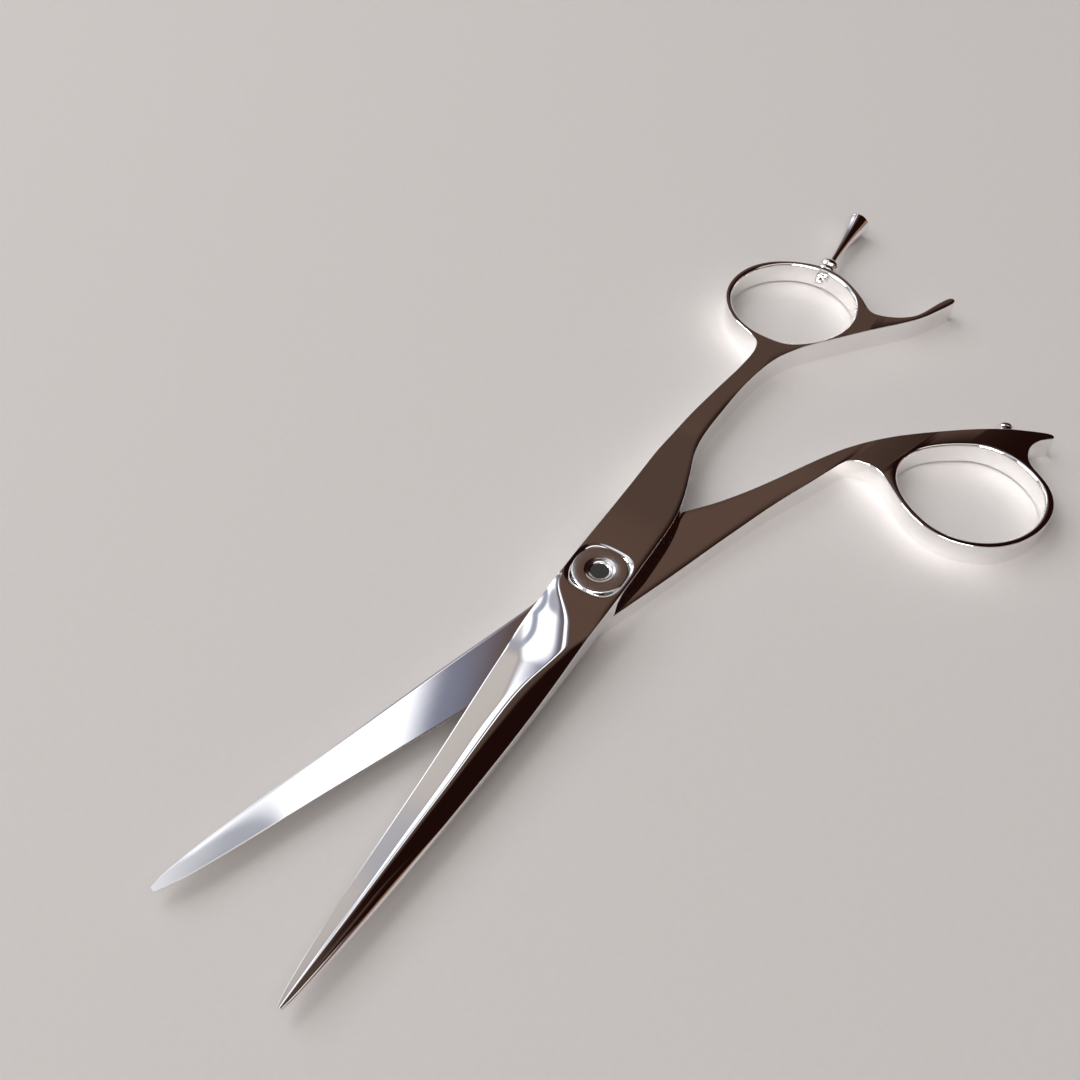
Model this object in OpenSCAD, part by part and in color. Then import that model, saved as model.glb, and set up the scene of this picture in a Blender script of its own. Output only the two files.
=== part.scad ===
// Hair cutting shears with an offset thumb ring, a curled finger tang,
// a screw-in finger rest and a stop bumper.
// Millimetres. The origin is on the pivot axis, in the plane the shears lie on.
// +X runs from the pivot to the tips, midway between the blades; +Z is up.
// The finger half lies on top of the thumb half and turns about +Z.

/* [Opening] */
// Angle between the two blades as the shears lie
opening = 18.2; // [10:0.1:40]

/* [Blades] */
// Distance from the pivot to the blade tips
tip_r = 82.6; // [82:0.1:84]
// Height of the plane in which the blades meet
ride_z = 3.3; // [3.2:0.05:3.4]
// Gap between the two halves at the ride plane
ride_gap = 0.1; // [0.06:0.02:0.2]
// Height of the finger half's flat top at the pivot
root_top = 6.6; // [6.5:0.05:6.8]
// Slope of the outer blade facet above the edge (rise over run)
facet = 0.48; // [0.4:0.01:0.6]
// Depth of the hollow grind in the inner faces
hollow = 0.04; // [0.02:0.01:0.2]

/* [Handles] */
// Thickness of both handles at the rings
handle_t = 4.6; // [4.4:0.1:5]
// Chamfer on the inner edges of the rings
ring_cham = 0.6; // [0.4:0.1:0.7]

/* [Pivot] */
// Diameter of the screw head
head_d = 9.15; // [8.8:0.05:9.3]
// Diameter of the counterbore for the head
sink_d = 9.5; // [9.4:0.05:9.8]
// Height of the screw head's face
head_top = 6.48; // [6.3:0.02:6.5]
// Thickness of the screw head
head_t = 1.15; // [1:0.05:1.2]
// Diameter of the screw's plain shank
shank_d = 5; // [4.8:0.1:5.2]
// Diameter of the screw's threaded end
thread_d = 4; // [3.8:0.1:4.2]
// Outer diameter of the pivot bush
bush_d = 6.6; // [6.4:0.1:7]
// Diameter of the screw's centre recess
key_d = 3.05; // [2.8:0.05:3.2]
// Depth of the black plug below the screw's face
key_sink = 0.42; // [0.4:0.02:0.9]
// Outer diameter of the tension nut
nut_d = 8.4; // [8:0.1:8.8]
// Running clearance on the radius
fit = 0.04; // [0.02:0.01:0.08]

/* [Finger rest] */
// Largest diameter of the trumpet
trumpet_d = 4.7; // [4.4:0.1:5.2]
// Length of the trumpet from the collar
trumpet_l = 14.2; // [13:0.1:14.6]
// Neck diameter of the trumpet
neck_d = 1.4; // [1.3:0.1:1.6]
// Diameter of the collar beads
bead_d = 4.1; // [4:0.1:4.4]
// Diameter of the rest's threaded stud
stud_d = 1; // [0.8:0.1:1]

/* [Bumper] */
// Diameter of the bumper
bump_d = 3.2; // [2.6:0.1:3.4]
// How far the bumper stands out of the handle
bump_l = 3; // [2.8:0.1:3.6]

/* [Hidden] */
$fn = 96;
up_a = opening/2;      // finger half's heading
low_a = -opening/2;    // thumb half's heading
up_z = ride_z + ride_gap/2;
low_z = ride_z - ride_gap/2;
fine = 4;
seat = head_top - head_t - 0.3;  // seat under the head
rest_y = -1;                     // where the finger rest leaves the ring
rest_z = 2.55;
rest_a = 2.7;                    // lean of the rest's axis in plan

// ---- curves -------------------------------------------------------------
function cr(a, b, c, d, t) =
  0.5*((2*b) + (c - a)*t + (2*a - 5*b + 4*c - d)*t*t + (3*b - a - 3*c + d)*t*t*t);
// open run through hand-set points; the last point is left to the next run
function run(p, n) = let (m = len(p) - 1)
  [for (i = [0:m - 1]) let (a = i > 0 ? p[i - 1] : 2*p[0] - p[1], d = i < m - 1 ? p[i + 2] : 2*p[m] - p[m - 1])
    for (k = [0:n - 1]) cr(a, p[i], p[i + 1], d, k/n)];
function ring(p, n) = let (m = len(p))
  [for (i = [0:m - 1]) for (k = [0:n - 1])
    cr(p[(i + m - 1)%m], p[i], p[(i + 1)%m], p[(i + 2)%m], k/n)];
// value of a table of [x, y] points at x, along the same curve
function seg(p, x, i = 0) = (i >= len(p) - 2 || x < p[i + 1][0]) ? i : seg(p, x, i + 1);
function at(p, x) = let (i = seg(p, x), m = len(p) - 1, t = (x - p[i][0])/(p[i + 1][0] - p[i][0]),
    a = i > 0 ? p[i - 1][1] : p[0][1]*2 - p[1][1], d = i < m - 1 ? p[i + 2][1] : 2*p[m][1] - p[m - 1][1])
  cr(a, p[i][1], p[i + 1][1], d, max(0, min(1, t)));
function sgn(v) = v < 0 ? -1 : 1;
function smooth(t) = let (u = max(0, min(1, t))) u*u*(3 - 2*u);
// lower of two heights with a soft meeting of width w
function softmin(a, b, w) = let (h = max(0, min(1, 0.5 + 0.5*(b - a)/w))) b + (a - b)*h - w*h*(1 - h);

// ---- finger half outline (tip along +X) ----------------------------------
up_back = [[8,-5.3],[4,-5.2],[0,-5.15],[-4,-5.1],[-8,-5],[-12,-4.95],[-16,-4.95],[-20,-5],[-24,-5.1],
  [-28,-5.2],[-32,-5.1],[-36,-4.85],[-40,-4.5],[-44,-4],[-48,-3.45],[-52,-2.85],[-56,-2.4],[-58.5,-2.3],
  [-60.2,-2.5],[-61.4,-3.1],[-62.4,-4.4],[-63.4,-6.6],[-64.6,-9.2],[-66.4,-11.4],[-68.8,-13.1],[-71.4,-14.1],
  [-74,-14.4],[-76.8,-14],[-79.6,-12.8],[-82.2,-10.6],[-84.3,-7.5],[-85.7,-4],[-86.2,-0.8],[-85.7,2.4],
  [-84.5,5.1],[-82.8,7.7],[-81,9.8],[-80,10.9],[-79.5,12.1],[-79.7,13.6],[-80.2,15],[-81,16.6],[-82,17.9],
  [-83,18.9],[-84.4,19.7],[-86,20.35],[-88,21.1],[-90,22],[-90.8,22.5]];
up_tip = [[-90.8,22.5],[-91.1,23.1],[-90.7,23.6],[-90,23.7]];
up_front = [[-90,23.7],[-88,22.8],[-86,21.8],[-84,20.75],[-82,19.45],[-80,17.9],[-78,16.15],[-76,14.35],
  [-74,12.6],[-72,10.95],[-70,9.3],[-68,7.65],[-66,6.05],[-64,4.55],[-62,3.35],[-60,2.35],[-58,1.65],
  [-56,1.15],[-53,0.6],[-50,0.2],[-46,-0.05],[-42,-0.2],[-38,-0.3],[-35,-0.2],[-32.5,0.15],[-30,0.85],
  [-28,1.6],[-26,2.3],[-24,3],[-22,3.65],[-20,4.2],[-18,4.65],[-16,5],[-13,5.25],[-8,5.35],[-2,5.4],
  [4,5.35],[8,5.25]];
up_hole = [[-63.7,-2],[-63.9,1.5],[-65.4,4.1],[-67.6,6.5],[-70.3,8.3],[-73.1,9.3],[-76,9.5],[-79,8.7],
  [-81.9,6.8],[-84,3.6],[-85.05,0.1],[-85,-3.2],[-84,-6.4],[-82.3,-9],[-80,-11.2],[-77,-12.8],
  [-74,-13.3],[-71.2,-13],[-68.7,-11.8],[-66.6,-9.9],[-65,-7.5],[-64,-4.8]];
// top of the finger half along its length
up_top = [[-96,4.6],[-36,4.6],[-33.6,4.6],[-32,4.72],[-30,4.95],[-26,5.35],[-20,5.85],[-14,6.25],[-8,6.5],[-4,6.6],[10,6.6]];
// underside of the finger half's lapped part
up_under = [[-31,3.95],[-26,3.75],[-20,3.6],[-12,3.4],[-8,3.35],[10,3.35]];
// plan of the lapped part: outside it the handle is full thickness
up_lap = [[12,-8],[-14,-8],[-15.5,-5.6],[-17,-4.1],[-19,-3.1],[-22,-2.1],[-25,-1.1],[-28,-0.1],[-29.6,0.5],
  [-30.6,1.2],[-31,2.6],[-31,8],[12,8]];

// ---- thumb half outline (tip along +X) ------------------------------------
low_front = [[8,6.4],[4,6.5],[0,6.55],[-6,6.6],[-12,6.6],[-20,6.6],[-26,6.7],[-31,6.85],[-36,7.25],[-40,7.7],
  [-44,8],[-46.6,8.15],[-48.4,8.4],[-49.7,9.3],[-50.6,10.8],[-51.1,12.6],[-50.9,14.4],[-50.2,16.3],
  [-49.3,18.6],[-48.4,21.2],[-47.8,24],[-47.7,26.6],[-48.1,29.2],[-49,31.7],[-50.4,33.9],[-52.4,36.1],
  [-55,37.8],[-58,38.8],[-61,39.15],[-64,38.85],[-66.8,37.8],[-69,36],[-70.5,33.6],[-71.3,31],[-71.8,29.3],
  [-72.6,28],[-73.8,27],[-75.4,26.4],[-77,26.45],[-78.4,27.1],[-79.4,27.75]];
low_tip = [[-79.4,27.75],[-80,27.8],[-80.3,27.3],[-80,26.5]];
low_back = [[-80,26.5],[-79,25.2],[-77.6,23.6],[-76,21.8],[-74,19.95],[-72,18.3],[-70,16.8],[-68,15.4],
  [-66,14.05],[-64,12.75],[-62,11.5],[-60,10.3],[-58,9.25],[-56,8.3],[-54,7.45],[-52,6.75],[-50,6.1],
  [-47,5.4],[-44,4.8],[-40,4],[-36,3.1],[-32,2.1],[-28,0.95],[-24,-0.45],[-20.5,-1.9]];
low_root = [[-20.5,-1.9],[-16,-3],[-12,-3.95],[-8,-4.7],[-4,-5.1],[0,-5.1],[4,-4.7],[8,-3.9]];
low_hole = [[-48.9,25.5],[-49.1,28.4],[-50.2,31.5],[-52.4,34.4],[-55.4,36.6],[-58.9,37.8],[-62.6,37.8],
  [-66,36.6],[-68.7,34.2],[-70.1,31],[-70.6,27.4],[-70.2,24],[-69,21.3],[-67,19.1],[-64.4,17],[-61.8,15.4],
  [-59.4,14.5],[-57.2,14.25],[-55.2,14.6],[-52.8,15.9],[-50.8,18.4],[-49.5,21.7]];
low_top = [[-96,4.6],[-46,4.6],[-42,4.5],[-38,4.28],[-32,3.88],[-26,3.58],[-20,3.4],[-14,3.28],[-10,3.25],[10,3.25]];

// ---- blade sections ---------------------------------------------------------
ub_c = [[6,-5.25],[10,-5.55],[14,-5.8],[20,-5.6],[26,-5.15],[32,-4.65],[40,-4],[50,-3.35],[60,-2.75],
  [70,-2.05],[76,-1.5],[80,-0.98],[82,-0.62]];
ub_s = [[6,5.3],[12,5.2],[20,5.05],[30,4.75],[40,4.3],[50,3.75],[60,3.05],[70,2.2],[76,1.55],[80,1],[82,0.62]];
ub_r = [[6,5.2],[11,5],[13,4.75],[16,3.8],[20,2.7],[24,1.7],[28,1.05],[32,0.75],[42,0.65],[52,0.5],[61,0.38],[71,0.25],[80,0.08],[82,0.03]];
ub_z = [[6,6.6],[22,6.6],[25,6.55],[28,6.33],[32,6.04],[42,5.62],[52,5.24],[61,4.93],[71,4.51],[76,4.25],[80,3.95],[82,3.77]];
lb_c = [[6,6.45],[10,6.3],[14,6.1],[20,5.8],[31,5.15],[40,4.5],[50,3.75],[60,3.05],[70,2.4],[76,1.9],[80,1.4],[82,1]];
lb_s = [[6,-4.3],[10,-3.6],[14,-3.4],[20,-3.3],[31,-3.1],[40,-2.8],[50,-2.5],[60,-2.2],[70,-1.8],[76,-1.35],[80,-0.85],[82,-0.42]];
lb_sz = [[6,3.25],[12,3.2],[20,3.17],[40,3.17],[60,3.18],[70,3.2],[76,3.22],[82,3.23]];

function rev(p) = [for (i = [len(p) - 1:-1:0]) p[i]];
function up_sec(x) = let (c = at(ub_c, x), s = at(ub_s, x), r = min(at(ub_r, x), s - 0.05), zt = at(ub_z, x),
    e = up_z + 0.1 + (root_top - up_z - 0.1)*smooth((17.5 - x)/12), w = 0.2 + 0.5*smooth((36 - x)/16),
    zs = max(up_z + 0.2, zt - 0.29*(s - r)), h = hollow*smooth((x - 8)/8)*smooth((84 - x)/10))
  rev(concat([[x, c, up_z], [x, c, min(e, zt - 0.02)]],
    [for (k = [1:6]) let (y = c + (r - c)*k/7) [x, y, min(zt, softmin(zt, e + facet*(y - c), w))]],
    [[x, r, zt - 0.005], [x, s, zs], [x, s, up_z], [x, (s*2 + c)/3, up_z + h], [x, (s + c*2)/3, up_z + h]]));
function low_sec(x) = let (c = at(lb_c, x), s = at(lb_s, x), sz = at(lb_sz, x), zb = root_top - at(ub_z, x),
    h = hollow*smooth((x - 8)/8)*smooth((84 - x)/10), e = low_z - 0.1 - (low_z - 0.1)*smooth((17.5 - x)/12),
    r = c - (c - s)*min(0.97, (at(ub_r, x) - at(ub_c, x))/(at(ub_s, x) - at(ub_c, x))))
  [[x, c, low_z], [x, (c*2 + s)/3, low_z - (low_z - sz)/3 - h], [x, (c + s*2)/3, low_z - (low_z - sz)*2/3 - h],
   [x, s, sz], [x, s, min(sz - 0.2, zb + 0.29*(r - s))], [x, r, zb], [x, min(c - 0.03, max(r + 0.03, c - (e - zb)/facet)), zb],
   [x, c, max(zb, e)]];

// closed skin through equal sections
module loft(secs) {
  n = len(secs[0]);
  m = len(secs);
  polyhedron(points = [for (s = secs) for (p = s) p],
    faces = concat([[for (k = [0:n - 1]) k]], [[for (k = [n - 1:-1:0]) (m - 1)*n + k]],
      [for (i = [0:m - 2]) for (k = [0:n - 1]) let (a = i*n + k, b = i*n + (k + 1)%n, c = b + n, d = a + n)
        each [[a, d, c], [a, c, b]]]), convexity = 4);
}
stations = [6.5,8,10,12,14,16,18,20,23,26,29,32,36,40,45,50,55,60,65,70,74,77,79.5,81,82,tip_r];

// vertical slab in the X-Z plane under a table of heights
module slab(table, z0, w) {
  rotate([90, 0, 0]) linear_extrude(height = w, center = true)
    polygon(concat(table, [[table[len(table) - 1][0], z0], [table[0][0], z0]]));
}
// outward normal of a closed run at point i
function nrm(p, i) = let (m = len(p), a = p[(i + m - 1)%m], b = p[(i + 1)%m], d = [b[1] - a[1], a[0] - b[0]]) d/norm(d);
function grow(p, d) = [for (i = [0:len(p) - 1]) p[i] + d*nrm(p, i)];
// ring hole with both rims eased in two steps
module eased_hole(p, t, c) {
  q = ring(p, 3);
  n = len(q);
  g = [c*1.09, c*1, c*0.38, 0, 0, c*0.38, c*1, c*1.09];
  h = [-0.1, 0, c*0.45, c*1.2, t - c*1.2, t - c*0.45, t, t + 0.1];
  polyhedron(points = [for (k = [0:7]) for (v = grow(q, g[k])) [v[0], v[1], h[k]]],
    faces = concat([[for (i = [0:n - 1]) i]], [[for (i = [n - 1:-1:0]) 7*n + i]],
      [for (k = [0:6]) for (i = [0:n - 1]) let (a = k*n + i, b = k*n + (i + 1)%n) each [[a, a + n, b + n], [a, b + n, b]]]),
    convexity = 4);
}

// ---- finger half --------------------------------------------------------------
module finger_half() color("silver") rotate([0, 0, up_a]) difference() {
  union() {
    difference() {
      intersection() {
        linear_extrude(height = 8) polygon(concat(run(up_back, fine), run(up_tip, fine), run(up_front, fine), [[8,5.25]]));
        slab(up_top, 0, 90);
      }
      // lap over the thumb half
      intersection() {
        translate([0, 0, -1]) linear_extrude(height = 8) polygon(up_lap);
        slab(up_under, -1, 60);
      }
      eased_hole(up_hole, handle_t, ring_cham);
    }
    loft([for (x = stations) x < tip_r ? up_sec(x) : [for (p = up_sec(82)) [tip_r, p[1]*0.68, up_z + (p[2] - up_z)*0.6]]]);
  }
  // bore for the bush, and counterbore for the head
  translate([0, 0, 2]) cylinder(h = 4, d = bush_d);
  translate([0, 0, seat]) cylinder(h = 3, d = sink_d);
  translate([0, 0, head_top - 0.55]) linear_extrude(height = 2)
    polygon([for (a = [0:6:354]) [0.2 + 5.08*sgn(cos(a))*pow(abs(cos(a)), 0.7), 5.02*sgn(sin(a))*pow(abs(sin(a)), 0.7)]]);
  // tapped hole for the finger rest
  translate([-86.2, rest_y, rest_z]) rotate([0, -90, rest_a]) translate([0, 0, -4]) cylinder(h = 6, d = stud_d, $fn = 48);
}

// ---- thumb half ---------------------------------------------------------------
module thumb_half() color("silver") rotate([0, 0, low_a]) difference() {
  union() {
    difference() {
      intersection() {
        linear_extrude(height = 8) polygon(concat(run(low_front, fine), run(low_tip, fine), run(low_back, fine), run(low_root, fine), [[8,-3.9]]));
        slab(low_top, 0, 90);
      }
      eased_hole(low_hole, handle_t, ring_cham);
    }
    loft([for (x = stations) x < tip_r ? low_sec(x) : [for (p = low_sec(82)) [tip_r, 0.32 + (p[1] - 0.32)*0.68, low_z - (low_z - p[2])*0.6]]]);
  }
  // bore for the screw, with a seat for the ride washer above and for the nut below
  translate([0, 0, -1]) cylinder(h = 6, d = shank_d + 0.06);
  translate([0, 0, low_z - 0.4]) cylinder(h = 3, d = 9.6);
  translate([0, 0, -1]) cylinder(h = 2.75, d = nut_d + 0.3);
  // tapped hole for the bumper
  bumper_place() translate([0, 0, -3.4]) cylinder(h = 6, d = 1.6, $fn = 48);
}

// ---- pivot --------------------------------------------------------------------
module pivot_screw() color("gainsboro") rotate([0, 0, low_a]) rotate_extrude() polygon([
  [0, 0], [thread_d/2 - 0.25, 0], [thread_d/2, 0.25], [thread_d/2, 1.75], [shank_d/2, 1.75],
  [shank_d/2, head_top - head_t], [head_d/2 - 0.3, head_top - head_t], [head_d/2, head_top - head_t + 0.3],
  [head_d/2, head_top - 0.2], [head_d/2 - 0.06, head_top - 0.06], [head_d/2 - 0.2, head_top], [2.6, head_top],
  [2.4, head_top - 0.05], [2.15, head_top - 0.17], [1.9, head_top - 0.2], [1.7, head_top - 0.33],
  [key_d/2, head_top - key_sink + 0.02], [key_d/2, head_top - 1.4], [0, head_top - 1.4]]);
module screw_plug() color("black") rotate([0, 0, low_a]) rotate_extrude() polygon([
  [0, head_top - 1.4], [key_d/2, head_top - 1.4], [key_d/2, head_top - key_sink - 0.05],
  [key_d/2 - 0.1, head_top - key_sink], [0, head_top - key_sink + 0.03]]);
module washer(z, h, di, do_) translate([0, 0, z]) difference() {
  cylinder(h = h, d = do_);
  translate([0, 0, -1]) cylinder(h = h + 2, d = di);
}
module head_washer() color("dimgray") washer(seat + 0.04, 0.26, shank_d + 0.1, 9.1);
module pivot_bush() color("peru") washer(up_z, seat - up_z, shank_d + 2*fit, bush_d);
module ride_washer() color("whitesmoke") washer(low_z - 0.4, 0.44, shank_d + 0.12, 9.4);
module nut_washer() color("gainsboro") washer(1.5, 0.24, thread_d + 0.2, 8.2);
// shallow cone spring under the flat washer
module spring_washer() color("slategray") rotate_extrude() polygon([
  [2.2, 1.28], [2.2, 1.08], [3.9, 1.28], [3.9, 1.48]]);
module tension_nut() color("silver") rotate([0, 0, low_a]) difference() {
  cylinder(h = 1.02, d = nut_d);
  translate([0, 0, -1]) cylinder(h = 4, d = thread_d + 2*fit);
  // four key notches in the rim
  for (a = [0:90:270]) rotate([0, 0, a + 45]) translate([nut_d/2, 0, -0.5]) cylinder(h = 1.1, d = 1, $fn = 32);
}

// ---- finger rest -----------------------------------------------------------------
// along its own +Z: 0 is the ring's outer wall
module rest_place() rotate([0, 0, up_a]) translate([-86.2, rest_y, rest_z]) rotate([0, -90, rest_a]) children();
module rest_stud() color("gray") rest_place() translate([0, 0, -2.2]) cylinder(h = 7.6, d = stud_d, $fn = 48);
module bead(z, l, r) translate([0, 0, z]) rotate_extrude($fn = 64) polygon(concat([[stud_d/2, 0], [r - 0.75, 0]],
  [for (a = [-75:15:75]) [r - 0.55 + 0.55*cos(a), l/2 + (l/2 - 0.06)*sin(a)]], [[r - 0.75, l], [stud_d/2, l]]));
module rest_spacer() color("gainsboro") rest_place() bead(0.1, 1.52, bead_d/2 - 0.05);
module rest_collar() color("gainsboro") rest_place() bead(1.66, 1.74, bead_d/2);
trumpet_r = [[0, 0.98], [0.25, 0.94], [0.6, neck_d/2 + 0.02], [1.6, neck_d/2], [3.4, 0.76], [5.4, 0.92], [7.4, 1.15],
  [9.4, 1.46], [11.2, 1.82], [12.6, 2.15], [13.3, trumpet_d/2 - 0.05], [13.5, trumpet_d/2], [13.66, trumpet_d/2 - 0.1], [13.7, trumpet_d/2 - 0.3]];
module rest_trumpet() color("gainsboro") rest_place() difference() {
  translate([0, 0, 3.45]) rotate_extrude($fn = 64) polygon(concat([[0, 0]],
    [for (p = trumpet_r) [p[1], p[0]*trumpet_l/13.7]], [[0, trumpet_l]]));
  translate([0, 0, 3]) cylinder(h = 2.4, d = stud_d, $fn = 48);
}
module rest_nut() color("gainsboro") rest_place() difference() {
  union() {
    translate([0, 0, -1.62]) cylinder(h = 0.4, d = 2.5, $fn = 64);
    translate([0, 0, -1.85]) sphere(d = 1.86, $fn = 64);
  }
  translate([0, 0, -2.2]) cylinder(h = 3, d = stud_d, $fn = 48);
  translate([0, 0, -1.22]) cylinder(h = 3, d = 6, $fn = 64);
}

// ---- bumper ---------------------------------------------------------------------
// along its own +Z: 0 is the handle's edge
module bumper_place() translate([-75.33, 21.2, handle_t/2]) rotate([0, 90, 219.5]) children();
module bumper_stud() color("gray") rotate([0, 0, low_a]) bumper_place() translate([0, 0, -3.4]) cylinder(h = 4.7, d = 1.6, $fn = 48);
module bumper_sleeve() color("gainsboro") rotate([0, 0, low_a]) bumper_place() difference() {
  rotate_extrude($fn = 64) polygon([[0, 0.15], [bump_d/2 - 0.15, 0.15], [bump_d/2, 0.3], [bump_d/2, 1.4], [bump_d/2 - 0.12, 1.5], [0, 1.5]]);
  translate([0, 0, -1]) cylinder(h = 2.3, d = 1.6, $fn = 48);
}
module bumper_pad() color("dimgray") rotate([0, 0, low_a]) bumper_place() rotate_extrude($fn = 64)
  polygon(concat([[0, 1.5], [bump_d/2 - 0.1, 1.5], [bump_d/2, 1.6]], [for (a = [0:15:75]) [bump_d/2 - 1.1 + 1.1*cos(a), bump_l - 1.1 + 1.1*sin(a)]], [[0, bump_l]]));

finger_half();
thumb_half();
pivot_screw();
screw_plug();
head_washer();
pivot_bush();
ride_washer();
nut_washer();
spring_washer();
tension_nut();
rest_stud();
rest_trumpet();
rest_collar();
rest_spacer();
rest_nut();
bumper_stud();
bumper_sleeve();
bumper_pad();
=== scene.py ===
import bpy, bmesh, math
import numpy as np
from mathutils import Vector, Matrix
from mathutils.geometry import tessellate_polygon


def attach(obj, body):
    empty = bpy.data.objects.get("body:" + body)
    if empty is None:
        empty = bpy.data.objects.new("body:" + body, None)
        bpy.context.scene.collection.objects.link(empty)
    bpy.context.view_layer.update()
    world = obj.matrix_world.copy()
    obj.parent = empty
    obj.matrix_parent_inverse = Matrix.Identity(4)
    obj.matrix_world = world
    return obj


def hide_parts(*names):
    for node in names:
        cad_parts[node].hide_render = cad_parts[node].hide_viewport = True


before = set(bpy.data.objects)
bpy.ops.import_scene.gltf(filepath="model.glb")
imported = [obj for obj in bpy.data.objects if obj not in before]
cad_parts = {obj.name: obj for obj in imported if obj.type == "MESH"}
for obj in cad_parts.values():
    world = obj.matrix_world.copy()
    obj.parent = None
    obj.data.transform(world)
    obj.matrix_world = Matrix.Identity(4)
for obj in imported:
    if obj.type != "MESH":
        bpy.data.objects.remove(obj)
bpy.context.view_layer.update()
MM = 0.001
UP_A = math.radians(9.1)     # heading of the finger half at rest
LOW_A = math.radians(-9.1)   # heading of the thumb half at rest
UZ, LZ = 3.35, 3.25          # the two ride faces
TIP = 82.6


# ---------------------------------------------------------------- curves
def cr(a, b, c, d, t):
    return 0.5 * ((2 * b) + (c - a) * t + (2 * a - 5 * b + 4 * c - d) * t * t + (3 * b - a - 3 * c + d) * t ** 3)


def run(p, n=12):
    p = np.array(p, float)
    q = np.vstack([2 * p[0] - p[1], p, 2 * p[-1] - p[-2]])
    out = []
    for i in range(len(p) - 1):
        for k in range(n):
            out.append(cr(q[i], q[i + 1], q[i + 2], q[i + 3], k / n))
    out.append(p[-1])
    return np.array(out)


def loop(p, n=12):
    p = np.array(p, float)
    m = len(p)
    return np.array([cr(p[i - 1], p[i], p[(i + 1) % m], p[(i + 2) % m], k / n) for i in range(m) for k in range(n)])


def gauss(v, s, closed=False):
    """v smoothed over s samples, its ends held"""
    if s <= 0:
        return v
    r = int(3 * s + 1)
    k = np.exp(-0.5 * (np.arange(-r, r + 1) / s) ** 2)
    k /= k.sum()
    if closed:
        w = np.concatenate([v[-r:], v, v[:r]])
    else:
        w = np.concatenate([2 * v[0] - v[r:0:-1], v, 2 * v[-1] - v[-2:-r - 2:-1]])
    return np.convolve(w, k, "valid")


def even(p, step, closed=False):
    """points at even distances along a polyline"""
    if closed:
        p = np.vstack([p, p[:1]])
    d = np.concatenate([[0], np.cumsum(np.linalg.norm(np.diff(p, axis=0), axis=1))])
    n = max(3, int(round(d[-1] / step)))
    t = np.linspace(0, d[-1], n + 1)
    q = np.stack([np.interp(t, d, p[:, k]) for k in range(p.shape[1])], 1)
    return q[:-1] if closed else q


def fair(p, step, sigma, closed=False):
    q = even(p, step / 2, closed)
    q = np.stack([gauss(q[:, k], 2 * sigma / step, closed) for k in range(2)], 1)
    return even(q, step, closed)


class Table:
    """a smooth function of x through listed points"""

    def __init__(self, pts, sigma=1.0):
        pts = np.array(sorted(pts), float)
        x, y = pts[:, 0], pts[:, 1]
        n = len(x)
        h = np.diff(x)
        a = np.zeros((n, n))
        b = np.zeros(n)
        a[0, 0] = a[-1, -1] = 1
        for i in range(1, n - 1):
            a[i, i - 1], a[i, i], a[i, i + 1] = h[i - 1], 2 * (h[i - 1] + h[i]), h[i]
            b[i] = 6 * ((y[i + 1] - y[i]) / h[i] - (y[i] - y[i - 1]) / h[i - 1])
        m = np.linalg.solve(a, b)
        self.x = np.arange(x[0], x[-1] + 0.05, 0.1)
        i = np.clip(np.searchsorted(x, self.x) - 1, 0, n - 2)
        t = self.x - x[i]
        u = x[i + 1] - self.x
        v = (m[i] * u ** 3 + m[i + 1] * t ** 3) / (6 * h[i]) + (y[i] / h[i] - m[i] * h[i] / 6) * u + (y[i + 1] / h[i] - m[i + 1] * h[i] / 6) * t
        self.y = gauss(v, sigma * 10)

    def __call__(self, x):
        return np.interp(x, self.x, self.y)


def smooth(t):
    t = np.clip(t, 0, 1)
    return t * t * (3 - 2 * t)


def softmin(a, b, w):
    h = np.clip(0.5 + 0.5 * (b - a) / w, 0, 1)
    return b + (a - b) * h - w * h * (1 - h)


# ---------------------------------------------------------------- shapes
up_back = [[8,-5.35],[4,-5.2],[0,-5.15],[-4,-5.1],[-8,-5],[-12,-4.95],[-16,-4.95],[-20,-5],[-24,-5.1],
  [-28,-5.2],[-32,-5.1],[-36,-4.85],[-40,-4.5],[-44,-4],[-48,-3.45],[-52,-2.85],[-56,-2.4],[-58.5,-2.3],
  [-60.2,-2.5],[-61.4,-3.1],[-62.4,-4.4],[-63.4,-6.6],[-64.6,-9.2],[-66.4,-11.4],[-68.8,-13.1],[-71.4,-14.1],
  [-74,-14.4],[-76.8,-14],[-79.6,-12.8],[-82.2,-10.6],[-84.3,-7.5],[-85.7,-4],[-86.2,-0.8],[-85.7,2.4],
  [-84.5,5.1],[-82.8,7.7],[-81,9.8],[-80,10.9],[-79.5,12.1],[-79.7,13.6],[-80.2,15],[-81,16.6],[-82,17.9],
  [-83,18.9],[-84.4,19.7],[-86,20.35],[-88,21.1],[-90,22],[-90.8,22.5]]
up_tip = [[-90.8,22.5],[-91.1,23.1],[-90.7,23.6],[-90,23.7]]
up_front = [[-90,23.7],[-88,22.8],[-86,21.8],[-84,20.75],[-82,19.45],[-80,17.9],[-78,16.15],[-76,14.35],
  [-74,12.6],[-72,10.95],[-70,9.3],[-68,7.65],[-66,6.05],[-64,4.55],[-62,3.35],[-60,2.35],[-58,1.65],
  [-56,1.15],[-53,0.6],[-50,0.2],[-46,-0.05],[-42,-0.2],[-38,-0.3],[-35,-0.2],[-32.5,0.15],[-30,0.85],
  [-28,1.6],[-26,2.3],[-24,3],[-22,3.65],[-20,4.2],[-18,4.65],[-16,5],[-13,5.25],[-8,5.35],[-2,5.4],
  [4,5.35]]
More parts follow.
